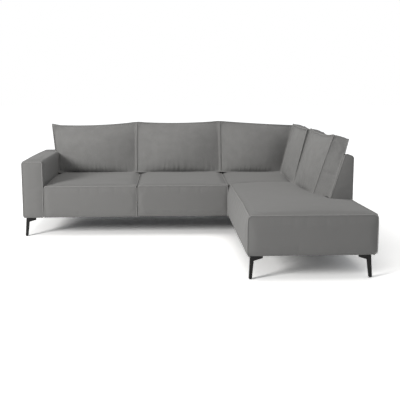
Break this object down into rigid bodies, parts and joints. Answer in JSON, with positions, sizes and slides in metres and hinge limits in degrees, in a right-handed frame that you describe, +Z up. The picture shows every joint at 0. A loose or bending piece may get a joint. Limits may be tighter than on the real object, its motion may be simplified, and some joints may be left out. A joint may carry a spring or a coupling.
{
  "type": "corner sofa",
  "caption": "Upholstered corner sofa with a box arm, an open-ended chaise, raked backs, loose piped back cushions and slim black metal legs.",
  "frame": {"origin": "on the floor, under the middle of the sofa's bounding box", "axes": "seen from the front, +X to the right towards the chaise, +Y to the back, +Z up"},
  "size_m": [2.6, 2.22, 0.941],
  "materials": {
    "upholstery": "soft matt woven chenille in mid grey, piped seams in the same cloth",
    "foam": "plain polyurethane foam",
    "under_cloth": "black non-woven cloth",
    "leg_metal": "satin black powder coat",
    "spring_steel": "bare spring steel",
    "zinc_steel": "zinc plated",
    "glide_plastic": "moulded black nylon",
    "webbing": "elastic webbing",
    "support_wood": "black stained softwood",
    "timber": "planed softwood and plywood"
  },
  "bodies": {
    "sofa": {"arm_base_board": "timber", "arm_cover": "upholstery", "arm_end_boards": "timber", "arm_foam": "foam", "arm_front_leg": "leg_metal", "arm_rear_leg": "leg_metal", "arm_side_boards": "timber", "arm_top_board": "timber", "back_straps": "webbing", "chaise_left_leg": "leg_metal", "chaise_right_leg": "leg_metal", "chaise_seat_cover": "upholstery", "chaise_seat_foam": "foam", "corner_back_cover": "upholstery", "corner_back_foam": "foam", "corner_back_posts": "timber", "corner_back_top_rail": "timber", "corner_cross_rails": "timber", "corner_end_rails": "timber", "corner_rear_leg": "leg_metal", "corner_seat_cover": "upholstery", "corner_seat_foam": "foam", "corner_section_springs": "spring_steel", "corner_side_rails": "timber", "corner_under_cloth": "under_cloth", "foot_glides": "glide_plastic", "left_seat_cover": "upholstery", "left_seat_foam": "foam", "leg_blocks": "timber", "leg_screws": "zinc_steel", "link_hooks": "zinc_steel", "link_plates": "zinc_steel", "main_back_cover": "upholstery", "main_back_foam": "foam", "main_back_posts": "timber", "main_back_top_rail": "timber", "main_centre_rail": "timber", "main_end_rails": "timber", "main_long_rails": "timber", "main_section_springs": "spring_steel", "main_spring_rail": "timber", "main_under_cloth": "under_cloth", "right_seat_cover": "upholstery", "right_seat_foam": "foam", "side_back_cover": "upholstery", "side_back_foam": "foam", "side_back_posts": "timber", "side_back_top_rail": "timber", "spring_clips": "spring_steel", "support_posts": "support_wood"},
    "left_cushion": {"left_cushion_core": "foam", "left_cushion_cover": "upholstery"},
    "centre_cushion": {"centre_cushion_core": "foam", "centre_cushion_cover": "upholstery"},
    "corner_cushion": {"corner_cushion_core": "foam", "corner_cushion_cover": "upholstery"},
    "side_cushion": {"side_cushion_core": "foam", "side_cushion_cover": "upholstery"},
    "end_cushion": {"end_cushion_core": "foam", "end_cushion_cover": "upholstery"}
  },
  "joints": [
    {"name": "left_cushion_lift", "type": "slide", "parent": "sofa", "child": "left_cushion", "axis": [0, 0.2879, 0.9577], "range_m": [0, 0.3]},
    {"name": "centre_cushion_lift", "type": "slide", "parent": "sofa", "child": "centre_cushion", "axis": [0, 0.2879, 0.9577], "range_m": [0, 0.3]},
    {"name": "corner_cushion_lift", "type": "slide", "parent": "sofa", "child": "corner_cushion", "axis": [0, 0.2879, 0.9577], "range_m": [0, 0.3]},
    {"name": "side_cushion_lift", "type": "slide", "parent": "sofa", "child": "side_cushion", "axis": [0.2879, 0, 0.9577], "range_m": [0, 0.3]},
    {"name": "end_cushion_lift", "type": "slide", "parent": "sofa", "child": "end_cushion", "axis": [0.2879, 0, 0.9577], "range_m": [0, 0.3]}
  ]
}
